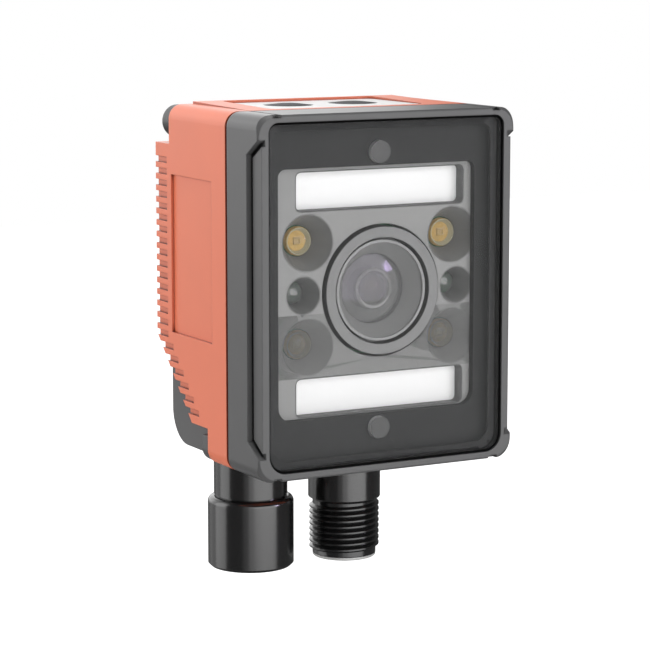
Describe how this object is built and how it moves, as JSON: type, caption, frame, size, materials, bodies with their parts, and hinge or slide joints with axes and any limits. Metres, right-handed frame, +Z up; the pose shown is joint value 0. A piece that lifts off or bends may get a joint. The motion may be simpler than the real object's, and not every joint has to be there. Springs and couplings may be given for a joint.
{
  "type": "fixed barcode reader",
  "caption": "Compact fixed-mount code reader with a glazed front, ring of lights round a lens, finned heat sink cover and round cable connectors below.",
  "frame": {"origin": "centre of the rear bolt pattern, on the plane of the fin tips", "axes": "+Z up, +Y out of the back towards the part that carries it, +X to the right seen from the front window"},
  "size_m": [0.047, 0.0377, 0.0782],
  "materials": {
    "housing_grey": "matte",
    "clear_pane": "polished",
    "black_rubber": "matte",
    "shield_dark": "matte",
    "pin_grey": "satin",
    "plate_grey": "matte",
    "cup_grey": "satin",
    "amber_dome": "gloss",
    "clear_lens": "polished",
    "white_diffuser": "satin",
    "emitter": "satin",
    "film": "satin",
    "board_green": "satin",
    "lens_grey": "satin",
    "lens_black": "satin",
    "lens_glass": "coated",
    "chip_black": "matte",
    "bright_steel": "satin",
    "dark_steel": "satin",
    "pad_grey": "matte",
    "cover_orange": "satin",
    "panel_white": "satin",
    "smoked_lens": "gloss",
    "connector_dark": "satin",
    "insert_black": "satin",
    "gold_contact": "polished",
    "flex_amber": "satin"
  },
  "bodies": {
    "root": {"front_housing": "housing_grey", "window_pane": "clear_pane", "window_gasket": "black_rubber", "light_shield": "shield_dark", "shield_pins": "pin_grey", "light_plate": "plate_grey", "light_cups": "cup_grey", "light_domes": "amber_dome", "aiming_cups": "cup_grey", "aiming_lenses": "clear_lens", "upper_light_bar": "white_diffuser", "lower_light_bar": "white_diffuser", "bar_emitters": "emitter", "polarizing_film": "film", "light_board": "board_green", "lens_holder": "lens_grey", "lens_barrel": "lens_black", "front_glass": "lens_glass", "aperture_stop": "lens_black", "rear_glass": "lens_glass", "image_sensor": "chip_black", "front_spacers": "bright_steel", "sensor_board": "board_green", "board_link": "emitter", "rear_spacers": "bright_steel", "main_board": "board_green", "board_screws": "bright_steel", "processor": "chip_black", "heat_pad": "pad_grey", "cover_seal": "black_rubber", "heat_sink_cover": "cover_orange", "cover_screws": "dark_steel", "top_panel": "panel_white", "status_lenses": "smoked_lens", "status_board": "board_green", "status_emitters": "emitter", "connector_housing": "housing_grey", "tongue_screws": "bright_steel", "connector_seals": "black_rubber", "connector_nuts": "bright_steel", "socket_shell": "connector_dark", "socket_insert": "insert_black", "socket_contacts": "gold_contact", "plug_shell": "connector_dark", "plug_insert": "insert_black", "plug_pins": "gold_contact", "connector_board": "board_green", "flex_tail": "flex_amber"}
  },
  "joints": []
}
